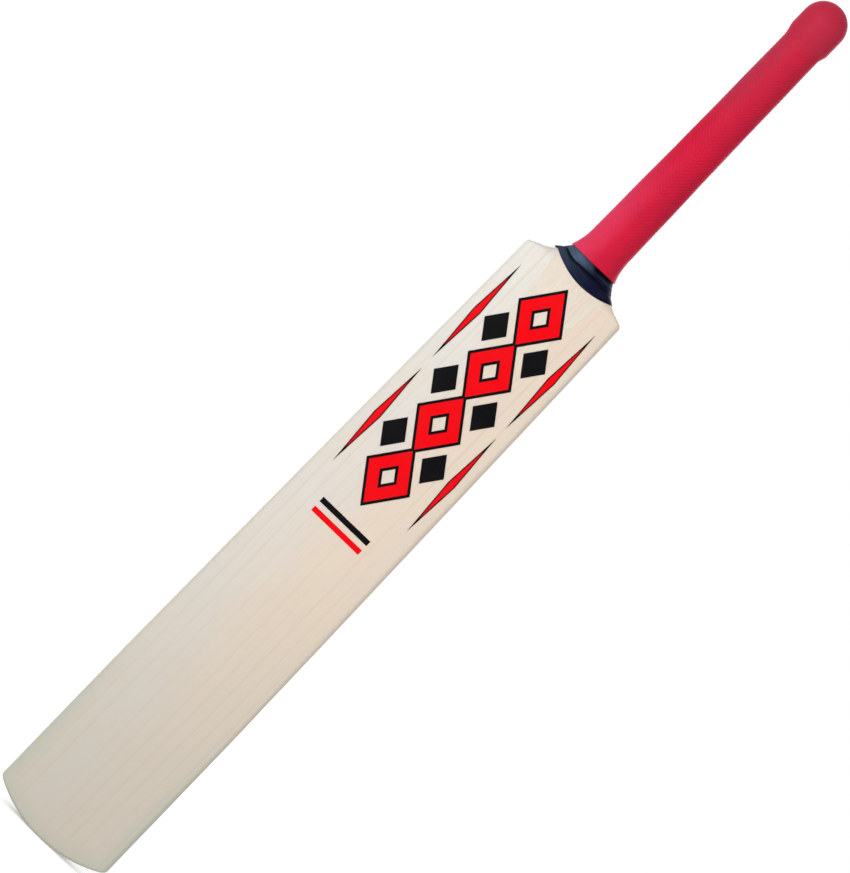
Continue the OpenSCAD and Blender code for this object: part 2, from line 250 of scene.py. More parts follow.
# %% Sizes of the blade
blade_l = 0.571
toe_w = 0.1064
shoulder_w = 0.0954
narrowing_z = 0.150
toe_arc_r = 0.109
toe_round = 0.0025
face_crown = 0.0035
toe_bow = 0.004
bow_l = 0.300
swell_z = 0.230
depths = {"toe": 0.031, "swell": 0.061, "shoulder": 0.039}
edges = {"toe": 0.023, "swell": 0.036, "shoulder": 0.024}
edge_round = 0.005
round_limit = 0.45
flank_hollow = 1.2
ridge_soft = 0.11
print("blade sides narrow by", round((toe_w - shoulder_w) * 500, 1), "mm each")

# %% Curves along the blade
def smooth(share):
    """An S-curve from 0 to 1."""
    held = np.clip(share, 0, 1)
    return held * held * (3 - 2 * held)


def ramp(value, start, width):
    """0 up to a start and 1 a width further on, with an S-curve between."""
    return smooth((value - start) / width)


def between(first, second, share):
    """A value part of the way from one to another."""
    return first + (second - first) * share


def half_width(z):
    """Half of the blade's width at a height."""
    return between(toe_w, shoulder_w, np.maximum(0, (z - narrowing_z) / (blade_l - narrowing_z))) / 2


def along_blade(sizes, z):
    """A size of the blade at a height, from its values at the toe, the swell and the shoulders."""
    low = between(sizes["toe"], sizes["swell"], smooth(z / swell_z))
    high = between(sizes["swell"], sizes["shoulder"], ramp(z, swell_z, blade_l - swell_z))
    return np.where(z < swell_z, low, high)


def bow(z):
    """How far the face is bowed forward at a height."""
    return toe_bow * np.maximum(0, 1 - z / bow_l) ** 2


middle_y = (toe_bow + bow(swell_z) - depths["swell"]) / 2
print("half width at the swell", round(half_width(swell_z) * 1000, 1), "mm")

# %% Half of a cross-section
FACE_STEPS = 6
ROUND_STEPS = 3
SIDE_AT = FACE_STEPS + ROUND_STEPS
HALF_WALK = 2 * SIDE_AT + 1


def rounded(step, x, y, x_turn, y_turn, start_angle, r):
    """Straight steps along a curve, then the steps round the side's rounding."""
    angle = between(start_angle, 0, (step - FACE_STEPS) / ROUND_STEPS)
    turning = step > FACE_STEPS
    turned_x = np.where(turning, x_turn + r * np.cos(angle), x)
    return turned_x, np.where(turning, y_turn + r * np.sin(angle), y)


def face_curve(step, w, r):
    """The face from its middle to the side."""
    slope = np.arctan(2 * face_crown * (w - r) / w**2)
    x_end = w - r * (1 - np.sin(slope))
    x = x_end * np.minimum(step, FACE_STEPS) / FACE_STEPS
    y_turn = face_crown * (x_end / w) ** 2 + r * np.cos(slope)
    return rounded(step, x, face_crown * (x / w) ** 2, w - r, y_turn, slope - math.pi / 2, r)


def back_curve(step, w, r, edge, depth):
    """The back from the spine to the side."""

    def back_y(x):
        soft = (np.hypot(x / w, ridge_soft) - ridge_soft) / (math.hypot(1, ridge_soft) - ridge_soft)
        return between(face_crown + edge, depth, np.maximum(0, 1 - soft) ** flank_hollow)

    slope = np.arctan((back_y(w - 2 * r) - back_y(w - r)) / r)
    x_end = w - r * (1 - np.sin(slope))
    x = x_end * np.minimum(step, FACE_STEPS) / FACE_STEPS
    y_turn = back_y(x_end) - r * np.cos(slope)
    return rounded(step, x, back_y(x), w - r, y_turn, math.pi / 2 - slope, r)


def half_section(walk, w, edge, depth):
    """A point of a cross-section, by how far one has walked from the middle of the face to the spine."""
    r = np.minimum(edge_round, round_limit * edge)
    face_x, face_y = face_curve(np.minimum(walk, SIDE_AT), w, r)
    back_x, back_y = back_curve(np.minimum(HALF_WALK - walk, SIDE_AT), w, r, edge, depth)
    down_side = np.clip(walk - SIDE_AT, 0, 1)
    return between(face_x, back_x, down_side), between(face_y, back_y, down_side)


stops = np.array([0.0, 0.5, 1.0]) * HALF_WALK
side_x, side_y = half_section(stops, half_width(swell_z), edges["swell"], depths["swell"])
print("half section at the swell:", (side_x * 1000).round(1), (side_y * 1000).round(1))

# %% [markdown]
# ## The neck's form
# Above the shoulders the blade draws in to the round handle. Its outline is one smooth curve with four
# control points, and on the way up each cross-section melts from the blade's shape into a circle round the
# handle's axis. A loft between two rings would do the same, but it would miss the CAD's outline in between.

# %% Shoulders and neck
shoulder_round = 0.0035
shoulder_slope = math.radians(20)
flare_w = 0.068
neck_h = 0.042
flare_h = 0.011
lip_seat = 0.0003
handle_back = 0.0192
neck_r = 0.0155
throat_t = 0.7
corner_start = blade_l - shoulder_round
axis_y = handle_back + middle_y


def corner_at(angle):
    """Half width and height on the rounding of the shoulder's corner."""
    half = half_width(blade_l) - shoulder_round * (1 - np.cos(angle))
    return half, corner_start + shoulder_round * np.sin(angle)


corner_end = math.pi / 2 - shoulder_slope
neck_half, neck_z = corner_at(corner_end)
flare_z = neck_z + (neck_half - flare_w / 2) * math.tan(shoulder_slope)
handle_half = neck_r + lip_seat
neck_controls = [
    (neck_half, neck_z),
    (flare_w / 2, flare_z),
    (handle_half, blade_l + flare_h),
    (handle_half, blade_l + neck_h),
]


def neck_at(t):
    """Half width and height on the neck's outline."""
    weights = [(1 - t) ** 3, 3 * t * (1 - t) ** 2, 3 * t**2 * (1 - t), t**3]
    half = sum(weight * control[0] for weight, control in zip(weights, neck_controls))
    return half, sum(weight * control[1] for weight, control in zip(weights, neck_controls))


throat_r, throat_z = neck_at(throat_t)
print("the neck is round at", round(throat_z * 1000, 1), "mm, radius", round(throat_r * 1000, 2), "mm")

# %% Points on the blade and neck
def stacked(x, y, z):
    """Points from their three coordinates, in the bat's frame."""
    return np.stack(np.broadcast_arrays(x, y + middle_y, z), axis=-1)


def blade_point(z, walk, inset=0.0):
    """Points of the blade at heights, with the toe's arc, its rim drawn in by an inset."""
    edge = along_blade(edges, z) - 2 * inset
    depth = along_blade(depths, z) - 2 * inset
    x, y = half_section(walk, half_width(z) - inset, edge, depth)
    toe_rise = (toe_arc_r - np.sqrt(toe_arc_r**2 - x**2)) * (1 - smooth(z / swell_z))
    return stacked(x, y + inset - bow(z), z + toe_rise)


def corner_point(angle, walk):
    """Points of the shoulders' rounding."""
    half, height = corner_at(angle)
    x, y = half_section(walk, half, edges["shoulder"], depths["shoulder"])
    return stacked(x, y, height)


def neck_point(t, walk):
    """Points of the neck, between the blade's cross-section and a circle."""
    half, height = neck_at(t)
    x, y = half_section(walk, half, edges["shoulder"], depths["shoulder"])
    angle = math.pi * (walk / HALF_WALK - 0.5)
    roundness = smooth(t / throat_t)
    half_depth = between(depths["shoulder"] / 2, throat_r, roundness)
    round_y = handle_back + half_depth * np.sin(angle)
    return stacked(between(x, half * np.cos(angle), roundness), between(y, round_y, roundness), height)


swell_spine = blade_point(np.array(swell_z), np.array(float(HALF_WALK)))
print("spine at the swell:", (swell_spine * 1000).round(2), "mm")

# %% [markdown]
# ## Gathering meshes
# Every piece here is made of rows of points with four-sided faces between them. A small holder gathers the
# rows and hands them to Blender once. It also keeps numbers for each point, such as how deep it lies in a
# groove, which the finishes read later.

# %% Mesh helpers
def strip(lower, upper, closed=True):
    """Four-sided faces between two rows of point numbers."""
    quads = np.stack([lower, np.roll(lower, -1), np.roll(upper, -1), upper], axis=1)
    return quads if closed else quads[:-1]


def cap(ring):
    """Faces that close a ring whose second half runs back beside its first."""
    half = len(ring) // 2
    return strip(ring[:half], ring[: half - 1 : -1], closed=False)


class Shape:
    """Points, faces and point values of one piece, before they become a mesh."""

    def __init__(self):
        self.points = []
        self.faces = []
        self.values = {}
        self.count = 0

    def add(self, points, **values):
        """Adds a row of points with their values, and gives back the points' numbers."""
        numbers = np.arange(self.count, self.count + len(points))
        self.points.append(points)
        for name, row in values.items():
            self.values.setdefault(name, []).append(row)
        self.count += len(points)
        return numbers

    def join(self, *faces):
        """Adds faces."""
        for group in faces:
            self.faces.extend(group.tolist())

    def loft(self, rows, closed=True):
        """Faces between each row of point numbers and the next."""
        for lower, upper in zip(rows[:-1], rows[1:]):
            self.join(strip(lower, upper, closed))


ring_of_four = np.arange(4)
print("a strip of four:", strip(ring_of_four, ring_of_four + 4).shape)

# %% From a shape to a piece
def make_piece(name, shape, finish, replaced, crease_degrees=38):
    """Turns a gathered shape into a piece that rides on the bat in place of its CAD node."""
    mesh = bpy.data.meshes.new(name)
    mesh.from_pydata(np.concatenate(shape.points).tolist(), [], shape.faces)
    mesh.polygons.foreach_set("use_smooth", np.ones(len(mesh.polygons), bool))
    mesh.set_sharp_from_angle(angle=math.radians(crease_degrees))
    for label, rows in shape.values.items():
        column = np.concatenate(rows)
        mesh.attributes.new(label, "FLOAT", "POINT").data.foreach_set("value", column)
    mesh.materials.append(finish)
    piece = bpy.data.objects.new(name, mesh)
    bpy.context.scene.collection.objects.link(piece)
    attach(piece, "root")
    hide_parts(replaced)
    print(name, "has", len(mesh.polygons), "faces")
    return piece


print(len(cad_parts), "CAD nodes wait for a piece or a finish")

# %% [markdown]
# ## Finishes that wood shares
# Willow, cane and the cheeks of the splice are all wood sawn along the grain, so they share one node group.
# Growth rings are planes from face to back: thin dark lines on the face, bands on the sides, stripes on the
# toe. Fibres are noise drawn out along the bat, and flecks are short darker strokes. Each wood sets its own
# widths.

# %% Group helpers
def new_group(name, inputs, outputs):
    """An empty shader node group with named numbers in and out."""
    tree = bpy.data.node_groups.new(name, "ShaderNodeTree")
    for label, value in inputs.items():
        socket = tree.interface.new_socket(label, in_out="INPUT", socket_type="NodeSocketFloat")
        socket.default_value = value
    for label in outputs:
        tree.interface.new_socket(label, in_out="OUTPUT", socket_type="NodeSocketFloat")
    return tree, tree.nodes.new("NodeGroupInput").outputs, tree.nodes.new("NodeGroupOutput").inputs


def placed_group(tree, group, **values):
    """Puts a group into a finish with its own values. Underscores stand for spaces in the inputs' names."""
    holder = tree.nodes.new("ShaderNodeGroup")
    holder.node_tree = group
    for name, value in values.items():
        plug(tree, holder.inputs[name.replace("_", " ")], value)
    return holder.outputs


def stretched(tree, spot, x, y, z):
    """A place in the bat with each direction scaled."""
    return node(tree, "VectorMath", {0: spot, 1: (x, y, z)}, operation="MULTIPLY")


def noise(tree, spot, scale=1.0, detail=2.0):
    """Soft noise from 0 to 1."""
    return node(tree, "TexNoise", {"Vector": spot, "Scale": scale, "Detail": detail})


print("tools for node groups are ready")

# %% Wood grain group
ring_bend = 1.3
grain_inputs = {"Ring Spacing": 0.01, "Ring Wander": 0.004, "Fibre Density": 1400.0}
grain, given, result = new_group("wood_grain", grain_inputs, ["Rings", "Fibres", "Flecks"])
spot = node(grain, "TexCoord", output="Object")
x, y, _ = place_in_bat(grain)
drift = calc(grain, "SUBTRACT", noise(grain, stretched(grain, spot, 9, 9, 2.6)), 0.5)
bend = times(grain, calc(grain, "POWER", y, 2.0), ring_bend)
across = calc(grain, "ADD", x, times(grain, drift, given["Ring Wander"]))
ring = calc(grain, "FRACT", calc(grain, "DIVIDE", calc(grain, "ADD", across, bend), given["Ring Spacing"]))
late_wood = times(grain, fade(grain, ring, 0.70, 0.97), fade(grain, ring, 1.0, 0.97))
ring_strength = fade(grain, noise(grain, stretched(grain, spot, 60, 20, 4)), 0.25, 0.75)
plug(grain, result["Rings"], times(grain, late_wood, ring_strength))
drawn_out = {0: stretched(grain, spot, 1, 1, 0.02), "Scale": given["Fibre Density"]}
fibre_spot = node(grain, "VectorMath", drawn_out, operation="SCALE")
plug(grain, result["Fibres"], noise(grain, fibre_spot, detail=3.0))
fleck_noise = noise(grain, stretched(grain, spot, 620, 620, 70), detail=1.0)
plug(grain, result["Flecks"], fade(grain, fleck_noise, 0.66, 0.78))
print("wood grain group with", len(grain.nodes), "nodes")

# %% [markdown]
# ## Wear that several finishes share
# Handling leaves broad, cloudy patches: dulled rubber, faded tape, oiled wood. A second group gives two sizes
# of cloud, so that no surface on the bat is a single flat tone.

# %% Clouds group
clouds, given, result = new_group("handling_clouds", {"Patch Density": 30.0}, ["Patches", "Grains"])
spot = node(clouds, "TexCoord", output="Object")
broad = noise(clouds, spot, scale=given["Patch Density"], detail=3.0)
plug(clouds, result["Patches"], fade(clouds, broad, 0.3, 0.72))
plug(clouds, result["Grains"], noise(clouds, spot, scale=2600.0, detail=1.0))
print("clouds group with", len(clouds.nodes), "nodes")

# %% [markdown]
# ## Willow
# The face is pale and satin. Its left is cooler and greyer, a painted sheen, with a painted highlight at the
# upper left; the right is warmer; and towards the toe it greys with painted shade and some grime. Painting
# these as a picture would need an image, so they are soft fades across and along the blade, with growth rings
# and fibres over them. The rim value, stored with the mesh, greys the rounded edges and the toe's rim with
# painted shade, and with some grime near the toe.

# %% Finish helpers
def new_finish(name):
    """A material, its node tree and its Principled shader."""
    finish = bpy.data.materials.new(name)
    finish.use_nodes = True
    return finish, finish.node_tree, finish.node_tree.nodes["Principled BSDF"]


def stored(tree, name):
    """A value that was stored with the mesh's points."""
    return node(tree, "Attribute", output="Fac", attribute_name=name)


def surfaced(tree, shader, colour, roughness, gloss, relief, depth):
    """Wires a finish: its colour, roughness and gloss, and a relief of a depth in metres."""
    plug(tree, shader.inputs["Base Color"], colour)
    plug(tree, shader.inputs["Roughness"], roughness)
    shader.inputs["Specular IOR Level"].default_value = gloss
    bump = node(tree, "Bump", {"Height": relief, "Distance": depth, "Strength": 1.0})
    plug(tree, shader.inputs["Normal"], bump)


print("tools for finishes are ready")

# %% Willow finish
def willow_finish():
    """Oiled willow with a painted sheen and highlight on its left, and painted shade and some grime towards
    the toe.
    """
    finish, tree, shader = new_finish("willow")
    lines = placed_group(tree, grain, Ring_Spacing=0.0098, Ring_Wander=0.008, Fibre_Density=1300.0)
    patches = placed_group(tree, clouds, Patch_Density=22.0)["Patches"]
    x, y, z = place_in_bat(tree)
    on_face_side = fade(tree, y, 0.004, -0.022)
    x_share = spread(tree, on_face_side, 0.6, 0.4)
    x_soft = calc(tree, "ADD", times(tree, x, x_share), times(tree, patches, 0.012))
    # Painted sheen: the face's left is cooler and greyer where the key lamp's reflection falls, the right
    # warmer; fainter on the back
    wood = mixed(tree, fade(tree, x_soft, -0.024, 0.020), paint(221, 216, 209), paint(229, 212, 194))
    wood = tinted(tree, wood, patches, 0.25, paint(232, 211, 186))
    # Painted highlight: the upper left of the face is paler and whiter, near the key lamp
    on_left = times(tree, fade(tree, x_soft, 0.02, -0.04), on_face_side)
    painted_highlight_upper_left = times(tree, fade(tree, z, 0.36, 0.57), on_left)
    wood = tinted(tree, wood, painted_highlight_upper_left, 0.6, paint(232, 230, 221))
    # Painted shade, with some grime: the blade greys towards the toe, where less of the key lamp's light
    # falls
    toe_shade_and_grime = times(tree, fade(tree, z, 0.36, 0.01), x_share)
    wood = tinted(tree, wood, toe_shade_and_grime, 0.85, paint(200, 194, 181))
    # Painted shade on the rounded sides and the toe's rim, with some grime near the toe
    wood = tinted(tree, wood, stored(tree, "rim"), 0.75, paint(188, 192, 177))
    wood = tinted(tree, wood, lines["Rings"], 0.32, paint(205, 178, 148))
    wood = tinted(tree, wood, lines["Flecks"], 0.22, paint(206, 182, 154))
    wood = tinted(tree, wood, fade(tree, lines["Fibres"], 0.35, 0.7), 0.18, paint(210, 192, 170))
    relief = calc(tree, "SUBTRACT", lines["Fibres"], times(tree, lines["Rings"], 0.5))
    surfaced(tree, shader, wood, spread(tree, lines["Fibres"], 0.25, 0.42), 0.25, relief, 0.00006)
    return finish


willow = willow_finish()
print("willow finish with", len(willow.node_tree.nodes), "nodes")

# %% [markdown]
# ## The blade
# The blade is one closed mesh: rows of points from the toe to the point of the splice, then two arms that
# rise on either side of the V-shaped slot and thin out at the neck. The slot could be cut with a Boolean,
# but rows that stop at the slot's walls give cleaner faces and leave the roundings along the sides evenly
# stepped.

# %% The slot of the splice
splice_l = 0.156
splice_w = 0.049
splice_tip_w = 0.006
slot_z = blade_l - splice_l
feather = 0.0002
FINE_N = 400
FRONT_WALK = np.linspace(0, HALF_WALK / 2, FINE_N)
BACK_WALK = HALF_WALK - FRONT_WALK


def slot_half(z):
    """Half of the slot's width at a height."""
    return splice_tip_w / 2 + (splice_w - splice_tip_w) / 2 * (z - slot_z) / splice_l


def walk_at(outline, x):
    """Where the walk round an outline passes a distance from the middle, on the face and on the back."""
    front = np.interp(x, outline(FRONT_WALK)[:, 0], FRONT_WALK)
    return front, np.interp(x, outline(BACK_WALK)[:, 0], BACK_WALK)


def arm_gap(t):
    """How much of the neck's half width is left outside the slot."""
    half, height = neck_at(t)
    return half - slot_half(height)


neck_steps = np.linspace(0, throat_t, FINE_N)
arm_top = float(np.interp(-feather, -arm_gap(neck_steps), neck_steps))
print("the blade's arms end at", round(neck_at(arm_top)[1] * 1000, 1), "mm")

# %% Steps round a cross-section
MIDDLE_N = 4
FACE_N = 36
ROUND_N = 14
SIDE_N = 12


def side_walk(front, back, evenness):
    """Steps from the slot's front edge round a side to its back edge, closer together on the roundings."""
    stations = [front, FACE_STEPS, SIDE_AT, SIDE_AT + 1, HALF_WALK - FACE_STEPS]
    counts = [FACE_N, ROUND_N, SIDE_N, ROUND_N]
    parts = [
        np.linspace(start, end, count, endpoint=False)
        for start, end, count in zip(stations[:-1], stations[1:], counts)
    ]
    shaped = np.concatenate([*parts, np.linspace(stations[-1], back, FACE_N)])
    return between(shaped, np.linspace(front, back, len(shaped)), evenness)


def whole_walk(front, back):
    """The walk of half a section, with the middle strip that the slot takes away higher up."""
    start = np.linspace(0, front, MIDDLE_N, endpoint=False)
    end = HALF_WALK - np.linspace(0, HALF_WALK - back, MIDDLE_N, endpoint=False)[::-1]
    return np.concatenate([start, side_walk(front, back, 0), end])


# The rim mask paints shade on the blade's rounded sides and toe, with some grime near the toe
def rim_shade_and_grime(points):
    """1 at the sides and the toe, fading out over the face and the back, and stronger near the toe."""
    x, z = np.abs(points[:, 0]), points[:, 2]
    toe_rise = toe_arc_r - np.sqrt(toe_arc_r**2 - x**2)
    beside = 1 - ramp(half_width(z) - x, 0.003, 0.012)
    beside = beside * between(1, 0.15, ramp(points[:, 1], -0.024, 0.010))
    near_toe = 1 - ramp(z, 0.05, 0.12)
    toe_line = 1 - ramp(z - toe_rise, 0.002, 0.014)
    return np.maximum(beside * between(0.08, 0.9, near_toe), 0.8 * toe_line)


print(len(whole_walk(1.0, HALF_WALK - 1.0)), "steps round half of the blade")

# %% Rows of the blade
TOE_N = 10
LOW_N = 96
ARM_N = 50
CORNER_N = 8
NECK_N = 22
even_from = 0.1


def steps(start, end, count):
    """Even steps on from a start that is already taken."""
    return np.linspace(start, end, count + 1)[1:]


lower_outlines = [
    partial(blade_point, toe_round * (1 - math.cos(a)), inset=toe_round * (1 - math.sin(a)))
    for a in np.linspace(0, math.pi / 2, TOE_N)
]
lower_outlines += [partial(blade_point, z) for z in steps(toe_round, slot_z, LOW_N)]
arm_outlines = [partial(blade_point, z) for z in steps(slot_z, corner_start, ARM_N)]
corner_outlines = [partial(corner_point, a) for a in steps(0, corner_end, CORNER_N)]
upper_outlines = [(outline, 0.0) for outline in arm_outlines + corner_outlines]
upper_outlines += [(partial(neck_point, t), min(1.0, t / even_from)) for t in steps(0, arm_top, NECK_N)]
print(len(lower_outlines), "rows up to the slot,", len(upper_outlines), "rows beside it")

# %% Blade mesh
MIRROR = np.array([-1.0, 1.0, 1.0])


def left_of(ring, half_n):
    """The left half of a whole ring, from the middle of the face to the spine."""
    return np.concatenate([ring[:1], ring[:0:-1]])[:half_n]


def paired(ring, half_n, reach):
    """The front and the back of a whole ring as two rows side by side, each from left to right."""
    left, right = left_of(ring, half_n), ring[:half_n]
    front = np.concatenate([left[1:reach][::-1], right[:reach]])
    back = np.concatenate([left[::-1][1:reach][::-1], right[::-1][:reach]])
    return front, back


def add_body(shape):
    """Adds the toe, the body and the slot's floor. Gives the body's top row and the length of a half row."""
    rows = []
    for outline in lower_outlines:
        right = outline(whole_walk(*walk_at(outline, splice_tip_w / 2)))
        rim = rim_shade_and_grime(right)
        ring = np.concatenate([right, right[-2:0:-1] * MIRROR])
        rows.append(shape.add(ring, rim=np.concatenate([rim, rim[-2:0:-1]])))
    shape.loft(rows)
    half_n = len(right)
    toe, slot_row = rows[0], rows[-1]
    flat_n = MIDDLE_N + FACE_N
    rounding = slice(flat_n, half_n - flat_n)
    shape.join(strip(*paired(toe, half_n, flat_n + 1)[::-1], closed=False))
    shape.join(toe[:half_n][rounding][None, ::-1], left_of(toe, half_n)[rounding][None, :])
    shape.join(strip(*paired(slot_row, half_n, MIDDLE_N + 1), closed=False))
    return slot_row, half_n


def blade_shape():
    """The willow blade: its body up to the slot, and the two arms beside the slot."""
    shape = Shape()
    slot_row, half_n = add_body(shape)
    side = slice(MIDDLE_N, half_n - MIDDLE_N)
    right_rows = [slot_row[:half_n][side]]
    left_rows = [left_of(slot_row, half_n)[side]]
    for outline, evenness in upper_outlines:
        height = outline(np.array([0.0]))[0, 2]
        right = outline(side_walk(*walk_at(outline, slot_half(height)), evenness))
        rim = rim_shade_and_grime(right)
        right_rows.append(shape.add(right, rim=rim))
        left_rows.append(shape.add(right * MIRROR, rim=rim))
    shape.loft(right_rows)
    shape.loft([row[::-1] for row in left_rows])
    shape.join(cap(right_rows[-1]), cap(left_rows[-1])[:, ::-1])
    return shape


blade = make_piece("willow_blade", blade_shape(), willow, "blade")
blade_low, blade_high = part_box("blade")
print("CAD blade box", [round(v * 1000, 2) for v in (*blade_low, *blade_high)])
print("mesh blade box", (np.array(blade.bound_box)[[0, 6]] * 1000).round(2).tolist())

# %% [markdown]
# ## Cane
# The handle is twelve strips of cane with rubber between the layers. Only the strips of the front and back
# layers show, flush with the willow inside the splice, and they are nearly as pale as it is. The same grain
# group does for cane, with much closer rings and finer fibres.

# %% Cane finishes
def cane_finish(name, light, dark, spacing):
    """Sanded cane with fine pores along it."""
    finish, tree, shader = new_finish(name)
    lines = placed_group(tree, grain, Ring_Spacing=spacing, Ring_Wander=0.004, Fibre_Density=2100.0)
    patches = placed_group(tree, clouds, Patch_Density=45.0)["Patches"]
    pores = fade(tree, lines["Fibres"], 0.50, 0.68)
    wood = tinted(tree, light, patches, 0.4, dark)
    wood = tinted(tree, wood, lines["Rings"], 0.35, dark)
    wood = tinted(tree, wood, pores, 0.45, dark)
    relief = calc(tree, "SUBTRACT", 1.0, pores)
    surfaced(tree, shader, wood, spread(tree, pores, 0.2, 0.44), 0.25, relief, 0.00006)
    return finish


cane = cane_finish("cane", paint(231, 219, 204), paint(217, 200, 178), 0.0031)
cheek = cane_finish("splice_cheek", paint(231, 220, 206), paint(218, 202, 181), 0.0047)
print("cane and cheek finishes with", len(cane.node_tree.nodes), "nodes each")

# %% [markdown]
# ## The strips of the handle
# Each strip is what two planes across the bat and two from front to back leave of the handle: a tongue in the
# splice, then the round shaft under the grip. At every height the strip's front and back are read off the
# same outline as the blade, so strip and blade are flush, and a hair's breadth of glue line is left between
# them.

# %% Sizes of the handle
overall_l = 0.855
end_wall = 0.004
end_r = 0.0133
end_round = 0.010
cane_w = 0.0104
cane_t = 0.008
spring_t = 0.0016
spring_reach = 0.055
glue = 0.00002
SHAFT_N = 9
END_N = 12
spring_z = blade_l - spring_reach
end_top = overall_l - end_wall
end_start = end_top - end_round
neck_shaft_r, neck_shaft_z = neck_at(np.linspace(throat_t, 1, SHAFT_N))
end_angles = np.linspace(0, math.pi / 2, END_N)
shaft_r = np.concatenate([neck_shaft_r - lip_seat, end_r - end_round + end_round * np.cos(end_angles)])
shaft_z = np.concatenate([neck_shaft_z, end_start + end_round * np.sin(end_angles)])
shaft_z[0] += glue
print("bare handle from", round(shaft_z[0], 4), "to", round(shaft_z[-1], 4), "m")

# %% Rows of a strip
STRIP_N = 14
TONGUE_N = 40
THROAT_N = 29


def tongue_outlines(low):
    """Outlines of the blade and neck from a height up to the throat."""
    outlines = [partial(blade_point, z) for z in np.linspace(low, corner_start, TONGUE_N)]
    return outlines + corner_outlines + [partial(neck_point, t) for t in steps(0, throat_t, THROAT_N)]


def strip_x(x_low, limit):
    """Even steps across a strip, a glue line short of its sides. A middle strip is as wide to the left."""
    low = -limit if x_low < 0 else x_low
    return np.linspace(low + glue, limit - glue, STRIP_N)


def strip_row(x, front_y, back_y, z, layer):
    """One closed row of points round a strip, held between the front and back planes of its layer."""
    room = spring_t / 2 if z >= spring_z else 0.0
    front = stacked(x, np.maximum(front_y, axis_y + layer[0] + room) - middle_y, z)
    back = stacked(x, np.minimum(back_y, axis_y + layer[1] - room) - middle_y, z)
    return np.concatenate([front, back[::-1]])


print(len(tongue_outlines(slot_z)), "outlines in the splice and", len(shaft_z), "up the shaft")

# %% One strip of the handle
WHOLE_DEPTH = (-1.0, 1.0)
# A strip stops just short of where its layer's plane meets the shaft, so that its sides keep a thickness
inside_arc = 0.998


def handle_strip(x_low, x_high, layer=WHOLE_DEPTH, into_shaft=True):
    """A strip of the right half, or the middle, of the handle."""
    shape = Shape()
    reach_low = max(0.0, x_low)
    least = reach_low + 3 * glue
    past_tip = max(0.0, reach_low + 4 * glue - splice_tip_w / 2)
    start = slot_z + past_tip * 2 * splice_l / (splice_w - splice_tip_w)
    rows = []
    for outline in tongue_outlines(start):
        front, back = outline(FRONT_WALK), outline(BACK_WALK)
        z = front[0, 2]
        limit = min(x_high, slot_half(z), front[-1, 0])
        if limit < least:
            break
        x = strip_x(x_low, limit)
        front_y = np.interp(np.abs(x), front[:, 0], front[:, 1])
        back_y = np.interp(np.abs(x), back[:, 0], back[:, 1])
        rows.append(shape.add(strip_row(x, front_y, back_y, z, layer)))
    nearest = min(abs(layer[0]), abs(layer[1])) + spring_t / 2
    for r, z in zip(shaft_r, shaft_z) if into_shaft else ():
        limit = min(x_high, inside_arc * math.sqrt(max(0.0, r**2 - nearest**2)))
        if limit < least:
            break
        x = strip_x(x_low, limit)
        arc = np.sqrt(np.maximum(0, r**2 - x**2))
        rows.append(shape.add(strip_row(x, axis_y - arc, axis_y + arc, z, layer)))
    shape.loft(rows)
    shape.join(cap(rows[0])[:, ::-1], cap(rows[-1]))
    return shape


cheek_x = max(neck_r, end_r) + lip_seat
print("cheeks start", round(cheek_x * 1000, 1), "mm from the axis")

# %% Outer canes and cheeks
def mirrored(shape):
    """The same shape on the other side of the bat."""
    other = Shape()
    other.add(np.concatenate(shape.points) * MIRROR)
    other.faces = [face[::-1] for face in shape.faces]
    return other


layers_of_cane = {"front": (-1.0, -cane_t), "back": (cane_t, 1.0)}
for name, layer in layers_of_cane.items():
    centre = handle_strip(-cane_w / 2, cane_w / 2, layer)
    outer = handle_strip(cane_w / 2, cheek_x, layer)
    for column, shape in (("centre", centre), ("right", outer), ("left", mirrored(outer))):
        make_piece(f"{name}_cane_{column}", shape, cane, f"cane_{name}_{column}")
side_cheek = handle_strip(cheek_x, 1.0, into_shaft=False)
make_piece("cheek_right", side_cheek, cheek, "splice_cheek_right")
make_piece("cheek_left", mirrored(side_cheek), cheek, "splice_cheek_left")

# %% [markdown]
# ## Inside the handle
# The inner canes and the three rubber springs are hidden, apart from their ends, which show through the small
# vent in the end of the grip. Their CAD shapes are already right, so they only take a finish.

# %% Inner canes and springs
def spring_finish():
    """Matt black rubber strip with a dusty bloom."""
    finish, tree, shader = new_finish("spring_rubber")
    wear = placed_group(tree, clouds, Patch_Density=60.0)
    rubber = mixed(tree, wear["Patches"], paint(40, 39, 38), paint(58, 55, 52))
    surfaced(tree, shader, rubber, spread(tree, wear["Patches"], 0.2, 0.65), 0.5, wear["Grains"], 0.00005)
    return finish


def dress(name, finish):
    """Gives a CAD node a finish."""
    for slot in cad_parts[name].material_slots:
        slot.material = finish


springs = [f"spring_{place}" for place in ("front", "middle", "back")]
columns = ("left", "centre", "right")
inner_canes = [f"cane_inner_{place}_{column}" for place in ("front", "back") for column in columns]
spring_rubber = spring_finish()
for name in springs:
    dress(name, spring_rubber)
for name in inner_canes:
    dress(name, cane)
print(len(springs), "springs and", len(inner_canes), "inner canes dressed")

# %% [markdown]
# ## Twine binding
# Waxed twine is wound tightly round the canes. A long coil of tube would need a very heavy mesh for a piece
# that the grip hides, so the binding is one sleeve whose outside is scalloped along a helix, turn by turn.

# %% Sizes of the twine
layer_gap = 0.0001
twine_t = 0.0007
twine_pitch = 0.0013
twine_hollow = 0.4
twine_roundness = 0.7
twine_start = 0.25
twine_in = layer_gap
twine_out = twine_in + twine_t
twine_low = neck_at(between(throat_t, 1, twine_start))[1]


def handle_r(z):
    """The bare handle's radius at a height."""
    return np.interp(z, shaft_z, shaft_r)


